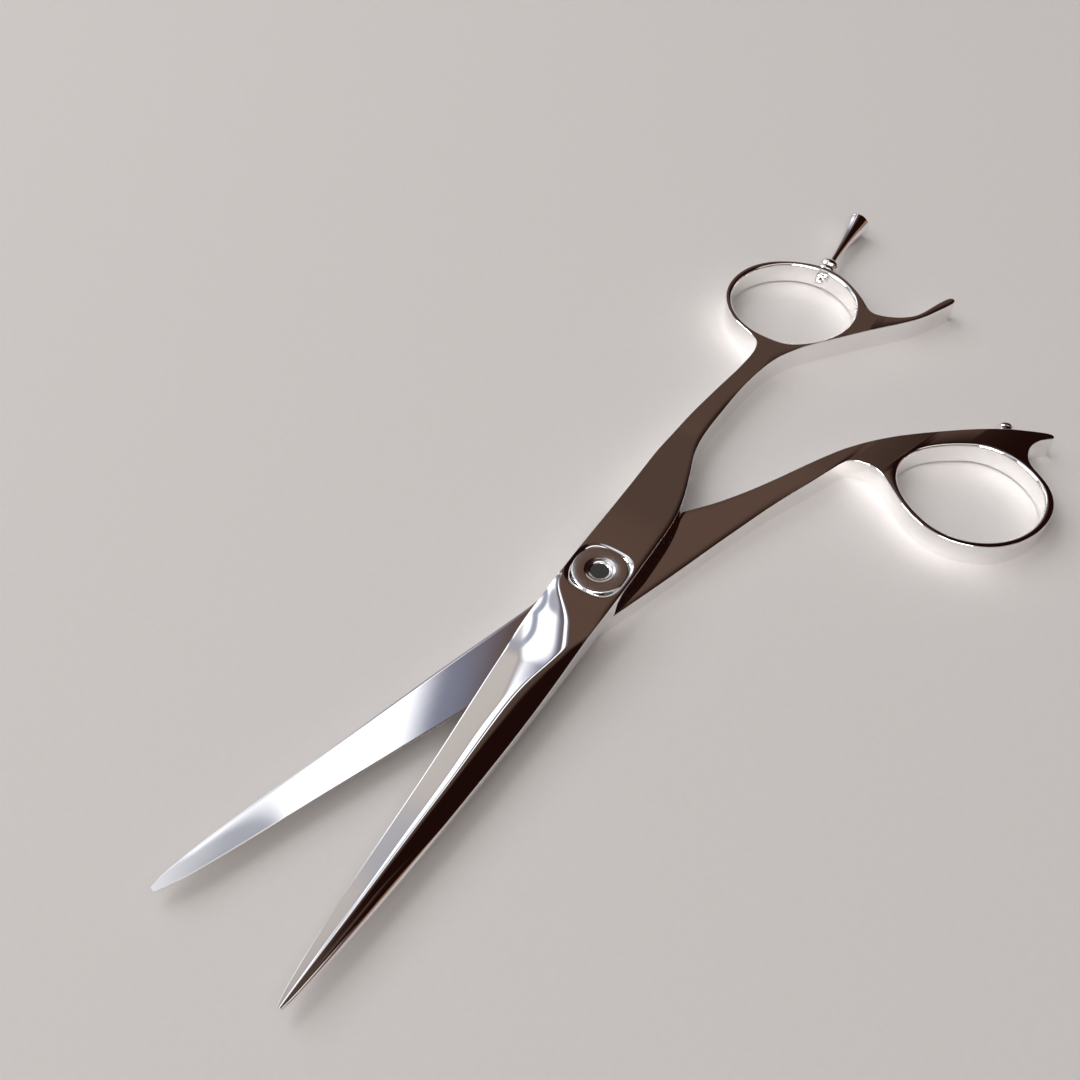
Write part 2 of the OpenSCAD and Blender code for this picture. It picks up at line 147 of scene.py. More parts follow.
up_hole = [[-63.7,-2],[-63.9,1.5],[-65.4,4.1],[-67.6,6.5],[-70.3,8.3],[-73.1,9.3],[-76,9.5],[-79,8.7],
  [-81.9,6.8],[-84,3.6],[-85.05,0.1],[-85,-3.2],[-84,-6.4],[-82.3,-9],[-80,-11.2],[-77,-12.8],
  [-74,-13.3],[-71.2,-13],[-68.7,-11.8],[-66.6,-9.9],[-65,-7.5],[-64,-4.8]]
low_front = [[4,6.5],[0,6.55],[-6,6.6],[-12,6.6],[-20,6.6],[-26,6.7],[-31,6.85],[-36,7.25],[-40,7.7],
  [-44,8],[-46.6,8.15],[-48.4,8.4],[-49.7,9.3],[-50.6,10.8],[-51.1,12.6],[-50.9,14.4],[-50.2,16.3],
  [-49.3,18.6],[-48.4,21.2],[-47.8,24],[-47.7,26.6],[-48.1,29.2],[-49,31.7],[-50.4,33.9],[-52.4,36.1],
  [-55,37.8],[-58,38.8],[-61,39.15],[-64,38.85],[-66.8,37.8],[-69,36],[-70.5,33.6],[-71.3,31],[-71.8,29.3],
  [-72.6,28],[-73.8,27],[-75.4,26.4],[-77,26.45],[-78.4,27.1],[-79.4,27.75]]
low_tip = [[-79.4,27.75],[-80,27.8],[-80.3,27.3],[-80,26.5]]
low_back = [[-80,26.5],[-79,25.2],[-77.6,23.6],[-76,21.8],[-74,19.95],[-72,18.3],[-70,16.8],[-68,15.4],
  [-66,14.05],[-64,12.75],[-62,11.5],[-60,10.3],[-58,9.25],[-56,8.3],[-54,7.45],[-52,6.75],[-50,6.1],
  [-47,5.4],[-44,4.8],[-40,4],[-36,3.1],[-32,2.1],[-28,0.95],[-24,-0.45],[-20.5,-1.9]]
low_root = [[-16,-3],[-12,-3.95],[-8,-4.7],[-4,-5.1],[0,-5.1],[4,-4.7]]
low_hole = [[-48.9,25.5],[-49.1,28.4],[-50.2,31.5],[-52.4,34.4],[-55.4,36.6],[-58.9,37.8],[-62.6,37.8],
  [-66,36.6],[-68.7,34.2],[-70.1,31],[-70.6,27.4],[-70.2,24],[-69,21.3],[-67,19.1],[-64.4,17],[-61.8,15.4],
  [-59.4,14.5],[-57.2,14.25],[-55.2,14.6],[-52.8,15.9],[-50.8,18.4],[-49.5,21.7]]

ub_c = [[10,-5.55],[14,-5.8],[20,-5.6],[26,-5.15],[32,-4.65],[40,-4],[50,-3.35],[60,-2.75],
  [70,-2.05],[76,-1.5],[80,-0.98],[82,-0.62],[82.6,-0.4]]
ub_s = [[12,5.2],[20,5.05],[30,4.75],[40,4.3],[50,3.75],[60,3.05],[70,2.2],[76,1.55],[80,1.0],[82,0.62],[82.6,0.4]]
lb_c = [[10,6.3],[14,6.1],[20,5.8],[31,5.15],[40,4.5],[50,3.75],[60,3.05],[70,2.4],[76,1.9],[80,1.4],[82.6,0.8]]
lb_s = [[10,-3.6],[14,-3.4],[20,-3.3],[31,-3.1],[40,-2.8],[50,-2.5],[60,-2.2],[70,-1.8],[76,-1.35],[80,-0.85],[82,-0.42],[82.6,-0.15]]

XJ_U, XJ_L = -56.0, -45.0    # where the shank meets the ring part
YB_U = Table([p for p in up_back if p[0] >= -60 and p[0] <= 4] + ub_c, 1.2)
YF_U = Table([p for p in up_front if p[0] >= -64] + ub_s, 1.2)
YF_L = Table([p for p in low_front if p[0] >= -46.7 and p[1] < 9] + lb_c, 1.2)
YB_L = Table([p for p in low_back if p[0] >= -56] + low_root + lb_s, 1.2)
ZT_U = Table([[-70,4.6],[-60,4.6],[-50,4.6],[-42,4.6],[-36,4.6],[-33.6,4.62],[-30,4.95],[-26,5.35],[-20,5.85],[-14,6.25],
  [-8,6.5],[-4,6.58],[0,6.6],[10,6.6],[20,6.6],[40,6.6],[84,6.6]], 0.8)
ZT_L = Table([[-60,4.6],[-52,4.6],[-46,4.58],[-42,4.5],[-38,4.28],[-32,3.88],[-26,3.58],[-20,3.4],[-14,3.28],[-10,3.25],
  [0,3.25],[20,3.25],[84,3.25]], 0.8)
UNDER_U = Table([[-80,3.95],[-31,3.95],[-26,3.75],[-20,3.6],[-12,3.4],[-8,3.35],[0,3.35],[84,3.35]], 0.6)
LAP = Table([[-33,3.4],[-30.6,1.2],[-29.6,0.5],[-28,-0.1],[-25,-1.1],[-22,-2.1],[-19,-3.1],[-17,-4.1],[-15.5,-5.6],[-14,-8]], 0.2)
RIDGE = Table([[4,7.4],[8,6.3],[11,5.5],[13,4.9],[16,3.8],[20,2.7],[24,1.7],[28,1.05],[32,0.75],[42,0.65],[52,0.5],[61,0.38],[71,0.25],[82.6,0]], 1.0)
RW = Table([[4,0.12],[14,0.14],[18,0.25],[24,0.6],[31,0.95],[42,0.72],[52,0.53],[61,0.42],[71,0.26],[82.6,0.08]], 1.0)
FACET, FALL = 0.48, 0.29


def blade_top(x, y, c, ridge):
    """height of the finger blade's outer side above the floor; y runs from the edge c to the spine"""
    e = UZ + 0.1 + (6.6 - UZ - 0.1) * (1 - float(smooth((x - 5.0) / 15.5)) ** 0.8)
    left = e + FACET * (y - c)
    flat = float(ZT_U(x))
    w1 = 0.35 + 1.75 * float(smooth((x - 4) / 8)) - 1.15 * float(smooth((x - 15) / 16))
    top = softmin(flat, left, w1)
    at = softmin(flat, e + FACET * (ridge - c), w1)
    right = at - FALL * (y - ridge)
    return softmin(top, right, float(RW(x)))


ARC = np.radians([0, 18, 36, 54, 72, 90])
K = 40


def side(y, d, z0, z1, b, h=None):
    """wall points from z0 up to z1 with a rounded top edge b wide and h high; d is the way into the metal"""
    h = b if h is None else h
    pts = [(y, z0)] + [(y, z0 + (z1 - h - z0) * t) for t in (0.34, 0.67)]
    return pts + [(y + d * b * (1 - math.cos(a)), z1 - h + h * math.sin(a)) for a in ARC]


def pillow(yy, lo, hi, p, w):
    """how far the polished face falls away towards its two sides"""
    return p * (np.clip(1 - (yy - lo) / w, 0, 1) ** 2 + np.clip(1 - (hi - yy) / w, 0, 1) ** 2)


def up_section(x, after=False):
    yb, yf = float(YB_U(x)), float(YF_U(x))
    lapped = x > XS + 1e-6 or (after and abs(x - XS) < 1e-6)
    zu = float(UNDER_U(x)) if lapped else 0.0
    xs = 0.32 * float(smooth((x - 8) / 10))
    b = 0.14 - 0.11 * float(smooth((x - 8) / 10))
    tail = float(smooth((x - 48) / 16))
    bs = 0.14 + 0.16 * float(smooth((x - 14) / 30)) * (1 - tail) + tail * 0.34 * max(yf, 0.05) * 1.1
    lap = float(LAP(x)) if x < -14.2 else -99
    yl = min(yf, max(yb, lap)) if lapped else yf
    z0 = 0.0 if (x < XE - 1e-6 or (abs(x - XE) < 1e-6 and not after)) else zu
    yy = np.linspace(yb + b, yf - bs, K)
    if x > 4:
        tz = blade_top(x, yy, yb, float(RIDGE(x)))
    else:
        tz = np.full(K, float(ZT_U(x)))
    edge = (1 - float(smooth((x - 6) / 8))) * float(smooth((x - XJ_U) / 14))
    tz = tz - 0.10 * edge * np.clip(1 - (yf - yy) / 1.5, 0, 1) ** 2 - 0.02 * edge * np.clip(1 - (yy - yb) / 0.5, 0, 1) ** 2
    back = side(yb, 1, z0, float(tz[0]), min(b, (tz[0] - zu) * 0.45))
    room = float(tz[-1]) - zu
    front = side(yf, -1, zu, float(tz[-1]), bs, min(bs, room * 0.6) * (1 - tail) + tail * room * 0.94)
    t = np.linspace(0, 1, 9)
    h = 0.05 * float(smooth((x - 8) / 8) * smooth((84 - x) / 10))
    bot = [(yf + (yl - yf) * v, zu + h * 4 * v * (1 - v)) for v in t]
    bot.append((max(yl, yb), z0))
    return back[:-1] + [(yb + b, tz[0])] + list(zip(yy[1:-1], tz[1:-1])) + [(yf - bs, tz[-1])] + front[::-1][1:-1] + bot


def low_section(x):
    yb, yf = float(YB_L(x)), float(YF_L(x))
    b = 0.14 - 0.1 * float(smooth((x - 4) / 10))
    bs = 0.14 + 0.16 * float(smooth((x - 4) / 10) * smooth((83.5 - x) / 10))
    yy = np.linspace(yb + bs, yf - b, K)
    h = (0.004 + 0.02 * float(smooth((x - 58) / 16))) * float(smooth((x - 8) / 8) * smooth((84 - x) / 10))
    v = (yy - yb) / (yf - yb)
    tz = float(ZT_L(x)) - h * 4 * v * (1 - v)
    tz = tz - pillow(yy, yb - 5 * float(smooth((x + 16) / 8)), yf, 0.10 * (1 - float(smooth((x - 2) / 8))) * float(smooth((x - XJ_L) / 12)), 1.5)
    if x > 4:
        bz0 = 6.6 - blade_top(x, np.linspace(-yf, -yb, K), -yf, -yf + (float(RIDGE(x)) - float(YB_U(x))) * (yf - yb) / float(YF_U(x) - YB_U(x)))
    else:
        bz0 = np.zeros(K)
    zf, zb = float(bz0[0]), float(bz0[-1])
    front = side(yf, -1, zf, float(tz[-1]), min(b, (tz[-1] - zf) * 0.45))
    back = side(yb, 1, zb, float(tz[0]), min(bs, (tz[0] - zb) * 0.45))
    bot = list(zip(np.linspace(yf, yb, K)[1:-1], bz0[1:-1]))
    return back[:-1] + [(yb + bs, tz[0])] + list(zip(yy[1:-1], tz[1:-1])) + [(yf - b, tz[-1])] + front[::-1][1:] + bot


def build(name, stations, section, cuts, outline, hole, xj, zt, rim, heading):
    """one half as a single closed skin: lofted shank and blade, and a flat ring part with eased hole"""
    secs = []
    for x in stations:
        secs.append((x, section(x)))
        if x in cuts:
            secs.append((x, section(x, True)))
    n = len(secs[0][1])
    bm = bmesh.new()
    rows = [[bm.verts.new((x, y, z)) for y, z in s] for x, s in secs]
    for a, b in zip(rows, rows[1:]):
        for k in range(n):
            q = (a[k], a[(k + 1) % n], b[(k + 1) % n], b[k])
            try:
                bm.faces.new(q)
            except ValueError:
                pass
    bm.faces.new(rows[-1])
    # ring part: walls round the outline, with eased rims
    first = secs[0][1]
    nb = 9
    bk = [np.array(p) for p in first[:nb]]                       # back wall, bottom to top
    o = outline
    t = np.gradient(o, axis=0)
    nrm = np.stack([-t[:, 1], t[:, 0]], 1)
    nrm /= np.linalg.norm(nrm, axis=1)[:, None]
    # the outline runs from the back of the joint round the ring to the front; the metal is on its right
    inward = -nrm
    inward[0] = (0, 1)
    inward[-1] = (0, -1)
    prof = []
    for k in range(nb):
        prof.append((abs(bk[k][0] - first[0][0]), bk[k][1]))
    loops = []
    for i in range(len(o)):
        loops.append([bm.verts.new((o[i, 0] + inward[i, 0] * d, o[i, 1] + inward[i, 1] * d, z)) for d, z in prof])
    for a, b in zip(loops, loops[1:]):
        for k in range(nb - 1):
            bm.faces.new((a[k], b[k], b[k + 1], a[k + 1]))
    ho = hole
    t = np.roll(ho, -1, 0) - np.roll(ho, 1, 0)
    hn = np.stack([t[:, 1], -t[:, 0]], 1)
    hn /= np.linalg.norm(hn, axis=1)[:, None]
    area = 0.5 * np.sum(ho[:, 0] * np.roll(ho[:, 1], -1) - np.roll(ho[:, 0], -1) * ho[:, 1])
    if area < 0:
        hn = -hn
    hp = [(rim * (1 - math.sin(a)), rim * (1 - math.cos(a))) for a in np.radians([0, 15, 30, 45, 60, 75, 90])]
    hp = [(rim * (1 - math.sin(a)), rim * (1 - math.cos(a))) for a in np.radians([0, 15, 30, 45, 60, 75, 90])]
    hp = hp + [(0, zt * 0.5)] + [(d, zt - z) for d, z in hp[::-1]]
    hl = [[bm.verts.new((ho[i, 0] + hn[i, 0] * d, ho[i, 1] + hn[i, 1] * d, z)) for d, z in hp] for i in range(len(ho))]
    for i in range(len(ho)):
        a, b = hl[i], hl[(i + 1) % len(ho)]
        for k in range(len(hp) - 1):
            bm.faces.new((a[k], a[k + 1], b[k + 1], b[k]))
    # flat top and bottom of the ring part
    top_row = rows[0][nb - 1:nb - 1 + K]
    top_out = [l[-1] for l in loops]
    if (top_out[0].co - top_row[0].co).length > 1e-3:
        top_out = top_out[::-1]
    top_edge = top_out + top_row[::-1][1:-1]
    bot_out = [l[0] for l in loops]
    bot_row = [rows[0][K + 15]]
    for v in rows[0][K + 16:] + [rows[0][0]]:
        if (v.co - bot_row[-1].co).length > 1e-4:
            bot_row.append(v)
    if (bot_out[0].co - bot_row[-1].co).length > 1e-3:
        bot_out = bot_out[::-1]
    bot_edge = bot_out + bot_row[1:-1]
    for edge, hring in ((top_edge, [v[-1] for v in hl]), (bot_edge, [v[0] for v in hl])):
        for tri in tessellate_polygon([[v.co.copy() for v in edge], [v.co.copy() for v in hring]]):
            vs = edge + hring
            try:
                bm.faces.new([vs[j] for j in tri])
            except ValueError:
                pass
    bmesh.ops.remove_doubles(bm, verts=bm.verts, dist=2e-3)
    bmesh.ops.dissolve_degenerate(bm, edges=bm.edges, dist=1e-4)
    bmesh.ops.recalc_face_normals(bm, faces=bm.faces)
    m = Matrix.Rotation(heading, 4, "Z") @ Matrix.Scale(MM, 4)
    bm.transform(m)
    me = bpy.data.meshes.new(name)
    bm.to_mesh(me)
    open_edges = sum(1 for e in bm.edges if len(e.link_faces) != 2)
    print(name, "open edges", open_edges, "faces", len(bm.faces))
    bm.free()
    ob = bpy.data.objects.new(name, me)
    bpy.context.scene.collection.objects.link(ob)
    return ob


def cut(ob, cutter):
    mod = ob.modifiers.new("cut", "BOOLEAN")
    mod.operation = "DIFFERENCE"
    mod.solver = "EXACT"
    mod.object = cutter
    bpy.context.view_layer.update()
    dg = bpy.context.evaluated_depsgraph_get()
    me = bpy.data.meshes.new_from_object(ob.evaluated_get(dg))
    ob.modifiers.clear()
    ob.data = me
    bpy.data.objects.remove(cutter)


def finish_mesh(ob, angle=32, weight=80):
    for p in ob.data.polygons:
        p.use_smooth = True
    ob.data.set_sharp_from_angle(angle=math.radians(angle))
    w = ob.modifiers.new("weighted", "WEIGHTED_NORMAL")
    w.mode = "FACE_AREA_WITH_ANGLE"
    w.weight = weight
    w.keep_sharp = True


def rounded(profile, r=0.06, n=4):
    """a lathe profile with its corners eased"""
    p = [np.array(q, float) for q in profile]
    out = [p[0]]
    for i in range(1, len(p) - 1):
        a, b, c = p[i - 1], p[i], p[i + 1]
        la, lc = np.linalg.norm(a - b), np.linalg.norm(c - b)
        if la < 1e-6 or lc < 1e-6:
            continue
        ca = np.dot(a - b, c - b) / la / lc
        if ca < -0.985:
            out.append(b)
            continue
        d = min(r, la * 0.45, lc * 0.45)
        s, e = b + (a - b) / la * d, b + (c - b) / lc * d
        for k in range(n + 1):
            t = k / n
            out.append((1 - t) ** 2 * s + 2 * t * (1 - t) * b + t * t * e)
    out.append(p[-1])
    return out


def lathe(name, profile, mat, seg=128, ease=0.06, closed=False):
    """turned piece: profile of (radius, height) in mm about its own +Z, placed by mat (in mm)"""
    prof = rounded(profile, ease) if ease > 0 else [np.array(q, float) for q in profile]
    bm = bmesh.new()
    rings = []
    for r, z in prof:
        if r < 1e-5:
            rings.append([bm.verts.new((0, 0, z))])
        else:
            rings.append([bm.verts.new((r * math.cos(2 * math.pi * k / seg), r * math.sin(2 * math.pi * k / seg), z)) for k in range(seg)])
    pairs = list(zip(rings, rings[1:]))
    if closed:
        pairs.append((rings[-1], rings[0]))
    for a, b in pairs:
        if len(a) == 1 and len(b) == 1:
            continue
        for k in range(seg):
            j = (k + 1) % seg
            if len(a) == 1:
                bm.faces.new((a[0], b[j], b[k]))
            elif len(b) == 1:
                bm.faces.new((a[k], a[j], b[0]))
            else:
                bm.faces.new((a[k], a[j], b[j], b[k]))
    bmesh.ops.recalc_face_normals(bm, faces=bm.faces)
    bm.transform(Matrix.Scale(MM, 4) @ mat)
    me = bpy.data.meshes.new(name)
    bm.to_mesh(me)
    bm.free()
    ob = bpy.data.objects.new(name, me)
    bpy.context.scene.collection.objects.link(ob)
    return ob


def place(heading=0.0, pos=(0, 0, 0), axis=None):
    """heading about +Z, then a spot and a direction in that half's own frame"""
    m = Matrix.Rotation(heading, 4, "Z") @ Matrix.Translation(pos)
    if axis is not None:
        m = m @ Vector(axis).to_track_quat("Z", "Y").to_matrix().to_4x4()
    return m


# ---------------------------------------------------------------- materials
def clear(mat):
    mat.use_nodes = True
    nt = mat.node_tree
    nt.nodes.clear()
    return nt


def steel(name, color, rough, scratch=0.25, scale=1.0, bump=0.02, spread=0.5, ring=False):
    """polished metal: buffing haze in the roughness, faint tint drift and hairline marks"""
    mat = bpy.data.materials.new(name)
    nt = clear(mat)
    N, L = nt.nodes, nt.links
    out = N.new("ShaderNodeOutputMaterial")
    bs = N.new("ShaderNodeBsdfPrincipled")
    L.new(bs.outputs[0], out.inputs[0])
    bs.inputs["Metallic"].default_value = 1.0
    co = N.new("ShaderNodeTexCoord")
    n1 = N.new("ShaderNodeTexNoise"); n1.inputs["Scale"].default_value = 70 * scale; n1.inputs["Detail"].default_value = 3
    n2 = N.new("ShaderNodeTexNoise"); n2.inputs["Scale"].default_value = 900 * scale; n2.inputs["Detail"].default_value = 2
    stretch = N.new("ShaderNodeMapping"); stretch.inputs["Scale"].default_value = (0.12, 3.0, 1.0)
    stretch.inputs["Rotation"].default_value = (0, 0, 0.16)
    L.new(co.outputs["Object"], n1.inputs["Vector"])
    L.new(co.outputs["Object"], stretch.inputs["Vector"])
    L.new(stretch.outputs[0], n2.inputs["Vector"])
    tint = N.new("ShaderNodeMix"); tint.data_type = "RGBA"
    tint.inputs["A"].default_value = (*[c * 0.975 for c in color], 1)
    tint.inputs["B"].default_value = (*[min(1, c * 1.02) for c in color], 1)
    L.new(n1.outputs["Fac"], tint.inputs["Factor"])
    L.new(tint.outputs["Result"], bs.inputs["Base Color"])
    mr = N.new("ShaderNodeMapRange")
    mr.inputs["From Min"].default_value = 0.35; mr.inputs["From Max"].default_value = 0.75
    mr.inputs["To Min"].default_value = rough; mr.inputs["To Max"].default_value = rough * (1 + spread)
    L.new(n1.outputs["Fac"], mr.inputs["Value"])
    add = N.new("ShaderNodeMath"); add.operation = "MULTIPLY_ADD"
    add.inputs[1].default_value = scratch * rough
    L.new(n2.outputs["Fac"], add.inputs[0]); L.new(mr.outputs[0], add.inputs[2])
    L.new(add.outputs[0], bs.inputs["Roughness"])
    bp = N.new("ShaderNodeBump"); bp.inputs["Strength"].default_value = bump; bp.inputs["Distance"].default_value = 0.00002
    if ring:
        wv = N.new("ShaderNodeTexWave"); wv.wave_type = "RINGS"; wv.rings_direction = "Z"
        wv.inputs["Scale"].default_value = 2600; wv.inputs["Distortion"].default_value = 0.3
        L.new(co.outputs["Object"], wv.inputs["Vector"]); L.new(wv.outputs["Fac"], bp.inputs["Height"])
    else:
        L.new(n2.outputs["Fac"], bp.inputs["Height"])
    L.new(bp.outputs[0], bs.inputs["Normal"])
    return mat


def soft(name, c1, c2, rough, scale=400, bump=0.15):
    mat = bpy.data.materials.new(name)
    nt = clear(mat)
    N, L = nt.nodes, nt.links
    out = N.new("ShaderNodeOutputMaterial")
    bs = N.new("ShaderNodeBsdfPrincipled")
    L.new(bs.outputs[0], out.inputs[0])
    co = N.new("ShaderNodeTexCoord")
    n1 = N.new("ShaderNodeTexNoise"); n1.inputs["Scale"].default_value = scale; n1.inputs["Detail"].default_value = 4
    L.new(co.outputs["Object"], n1.inputs["Vector"])
    tint = N.new("ShaderNodeMix"); tint.data_type = "RGBA"
    tint.inputs["A"].default_value = (*c1, 1); tint.inputs["B"].default_value = (*c2, 1)
    L.new(n1.outputs["Fac"], tint.inputs["Factor"]); L.new(tint.outputs["Result"], bs.inputs["Base Color"])
    mr = N.new("ShaderNodeMapRange"); mr.inputs["To Min"].default_value = rough * 0.85; mr.inputs["To Max"].default_value = rough * 1.15
    L.new(n1.outputs["Fac"], mr.inputs["Value"]); L.new(mr.outputs[0], bs.inputs["Roughness"])
    bp = N.new("ShaderNodeBump"); bp.inputs["Strength"].default_value = bump; bp.inputs["Distance"].default_value = 0.00003
    L.new(n1.outputs["Fac"], bp.inputs["Height"]); L.new(bp.outputs[0], bs.inputs["Normal"])
    return mat


M_STEEL = steel("mirror_steel", (0.9, 0.895, 0.89), 0.035, bump=0.006)
M_SCREW = steel("screw_steel", (0.88, 0.88, 0.87), 0.11, bump=0.04, ring=True)
M_REST = steel("rest_chrome", (0.9, 0.89, 0.885), 0.035, scale=3)
M_BUMP = steel("bumper_chrome", (0.9, 0.89, 0.885), 0.04, scale=3)
M_PLAIN = steel("plain_steel", (0.6, 0.6, 0.6), 0.28, bump=0.2)
M_NUT = steel("nut_steel", (0.72, 0.72, 0.72), 0.16, bump=0.15, ring=True)
M_SPRING = steel("spring_steel", (0.42, 0.44, 0.48), 0.22, bump=0.1)
M_BRONZE = steel("bronze", (0.6, 0.4, 0.22), 0.3, bump=0.25, scale=4)
# painted shade: a near-black matt material that stands in for the dark shade in the screw head's centre
M_PAINTED_SHADE = soft("black_insert", (0.002, 0.0025, 0.0025), (0.004, 0.005, 0.005), 0.9)
M_SLIP = soft("slip_plastic", (0.82, 0.82, 0.79), (0.86, 0.86, 0.83), 0.35)


def give(ob, mat, body, slot, *nodes):
    ob.data.materials.clear()
    ob.data.materials.append(mat)
    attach(ob, body)
    if nodes:
        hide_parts(*nodes)


# ---------------------------------------------------------------- halves
XE = round(float([x for x in np.arange(-33, -12, 0.02) if LAP(x) < YB_U(x)][0]), 3)
XS = round(float([x for x in np.arange(-32.5, -12, 0.02) if LAP(x) < YF_U(x)][0]), 3)
st_u = sorted(set(np.round(np.concatenate([np.arange(XJ_U, 0, 0.5), np.arange(0, 34, 0.25), np.arange(34, 80, 0.4), np.arange(80, TIP + 0.01, 0.13)]), 3)) | {XE, XS})
back = fair(run(up_back), 0.22, 0.5)
whole = np.vstack([run(up_back)[:-1], run(up_tip)[:-1], run(up_front)])
whole = fair(whole, 0.2, 0.4)
i0 = np.argmax(whole[:, 0] < XJ_U)
i1 = len(whole) - 1 - np.argmax(whole[::-1, 0] < XJ_U)
o_u = np.vstack([[XJ_U, float(YB_U(XJ_U))], whole[i0 + 1:i1], [XJ_U, float(YF_U(XJ_U))]])
h_u = fair(loop(up_hole), 0.25, 0.9, True)
upper = build("finger_half_skin", st_u, up_section, {XE, XS}, o_u, h_u, XJ_U, 4.6, 0.6, UP_A)

st_l = sorted(set(np.round(np.concatenate([np.arange(XJ_L, 0, 0.5), np.arange(0, 34, 0.3), np.arange(34, 80, 0.4), np.arange(80, TIP + 0.01, 0.13)]), 3)))
whole = np.vstack([run(low_front)[:-1], run(low_tip)[:-1], run(low_back)])
whole = fair(whole, 0.2, 0.4)[::-1]
i0 = np.argmax(whole[:, 0] < XJ_L)
i1 = len(whole) - 1 - np.argmax(whole[::-1, 0] < XJ_L)
o_l = np.vstack([[XJ_L, float(YB_L(XJ_L))], whole[i0 + 1:i1], [XJ_L, float(YF_L(XJ_L))]])
h_l = fair(loop(low_hole), 0.25, 0.9, True)
lower = build("thumb_half_skin", st_l, low_section, set(), o_l, h_l, XJ_L, 4.6, 0.6, LOW_A)


def oval(name, heading, rings, seg=144):
    """cutter for the rounded-square recess: rings of (growth, z)"""
    bm = bmesh.new()
    rows = []
    for g, z in rings:
        row = []
        for k in range(seg):
            a = 2 * math.pi * k / seg
            ca, sa = math.cos(a), math.sin(a)
            row.append(bm.verts.new((0.2 + (5.08 + g) * math.copysign(abs(ca) ** 0.7, ca), (5.02 + g) * math.copysign(abs(sa) ** 0.7, sa), z)))
        rows.append(row)
    for a, b in zip(rows, rows[1:]):
        for k in range(seg):
            j = (k + 1) % seg
            bm.faces.new((a[k], a[j], b[j], b[k]))
    bm.faces.new(rows[0]); bm.faces.new(rows[-1])
    bmesh.ops.recalc_face_normals(bm, faces=bm.faces)
    bm.transform(Matrix.Rotation(heading, 4, "Z") @ Matrix.Scale(MM, 4))
    me = bpy.data.meshes.new(name); bm.to_mesh(me); bm.free()
    ob = bpy.data.objects.new(name, me)
    bpy.context.scene.collection.objects.link(ob)
    return ob


HT, HTK = 6.48, 1.15
SEAT = HT - HTK - 0.3
cut(upper, oval("c1", UP_A, [(-1.0, 5.8), (-0.93, 5.84), (-0.86, 5.96), (-0.78, 6.1), (-0.68, 6.23), (-0.56, 6.34), (-0.42, 6.43), (-0.28, 6.495), (-0.14, 6.54), (0, 6.572), (0.14, 6.592), (0.3, 6.606), (0.6, 6.63), (1.2, 6.67)]))
cut(upper, lathe("c2", [(0, SEAT), (4.75, SEAT), (4.75, 6), (0, 6)], place(UP_A), 128, 0))
cut(upper, lathe("c3", [(0, 2), (3.3, 2), (3.3, 5.5), (0, 5.5)], place(UP_A), 96, 0))
finish_mesh(upper, 40)
give(upper, M_STEEL, "finger_side", "polished_steel", "finger_half")
cut(lower, lathe("c4", [(0, -1), (4.35, -1), (4.35, 1.75), (2.53, 1.75), (2.53, 2.85), (4.8, 2.85), (4.8, 4), (0, 4)], place(LOW_A), 128, 0))
finish_mesh(lower, 40)
give(lower, M_STEEL, "thumb_side", "polished_steel_lower", "thumb_half")

# ---------------------------------------------------------------- pivot
screw = lathe("pivot_screw_turned", [(0, 0), (1.75, 0), (2.0, 0.25), (2.0, 1.75), (2.5, 1.75), (2.5, HT - HTK), (4.275, HT - HTK),
  (4.575, HT - HTK + 0.3), (4.575, HT - 0.17), (4.53, HT - 0.07), (4.43, HT - 0.01), (4.3, HT), (2.62, HT), (2.5, HT - 0.015), (2.38, HT - 0.06), (2.25, HT - 0.13), (2.12, HT - 0.17),
  (2.0, HT - 0.185), (1.9, HT - 0.205), (1.78, HT - 0.27), (1.66, HT - 0.35), (1.57, HT - 0.385), (1.525, HT - 0.41), (1.525, HT - 1.4), (0, HT - 1.4)], place(LOW_A), 160, 0.04)
finish_mesh(screw, 40)
give(screw, M_SCREW, "thumb_side", "screw_steel", "pivot_screw")
# painted shade: a near-black disc just below the screw head's top fills the bore and paints the shade seen in its
# centre
plug = lathe("screw_shade_plug", [(0, HT - 1.39), (1.51, HT - 1.39), (1.51, HT - 0.47), (1.43, HT - 0.425), (0.5, HT - 0.42), (0, HT - 0.42)], place(LOW_A), 96, 0.04)
finish_mesh(plug, 40)
give(plug, M_PAINTED_SHADE, "thumb_side", "black_insert", "screw_plug")

# ---------------------------------------------------------------- finger rest
REST = place(UP_A, (-86.2, -1.0, 2.55), (-math.cos(math.radians(2.7)), -math.sin(math.radians(2.7)), 0))


def bead(z, l, r):
    return [(0.5, z), (r - 0.75, z)] + [(r - 0.55 + 0.55 * math.cos(a), z + l / 2 + (l / 2 - 0.06) * math.sin(a)) for a in np.radians(np.arange(-80, 81, 10))] + [(r - 0.75, z + l), (0.5, z + l)]


ob = lathe("rest_bead_inner", bead(0.1, 1.52, 2.0), REST, 96, 0, True)
finish_mesh(ob, 50); give(ob, M_REST, "finger_side", "rest_chrome", "rest_spacer")
ob = lathe("rest_bead_outer", bead(1.66, 1.74, 2.05), REST, 96, 0, True)
finish_mesh(ob, 50); give(ob, M_REST, "finger_side", "rest_chrome", "rest_collar")
horn = run([[0.98, 0], [0.94, 0.26], [0.72, 0.62], [0.7, 1.66], [0.76, 3.52], [0.92, 5.6], [1.15, 7.67], [1.46, 9.74], [1.82, 11.6], [2.15, 13.06], [2.3, 13.8]], 6)
horn = [tuple(p) for p in horn] + [(2.34, 13.92), (2.345, 14.02), (2.31, 14.12), (2.22, 14.18), (2.1, 14.2), (0, 14.2)]
ob = lathe("rest_horn", [(0, 0)] + horn, REST @ Matrix.Translation((0, 0, 3.45)), 96, 0)
finish_mesh(ob, 40); give(ob, M_REST, "finger_side", "rest_chrome", "rest_trumpet")
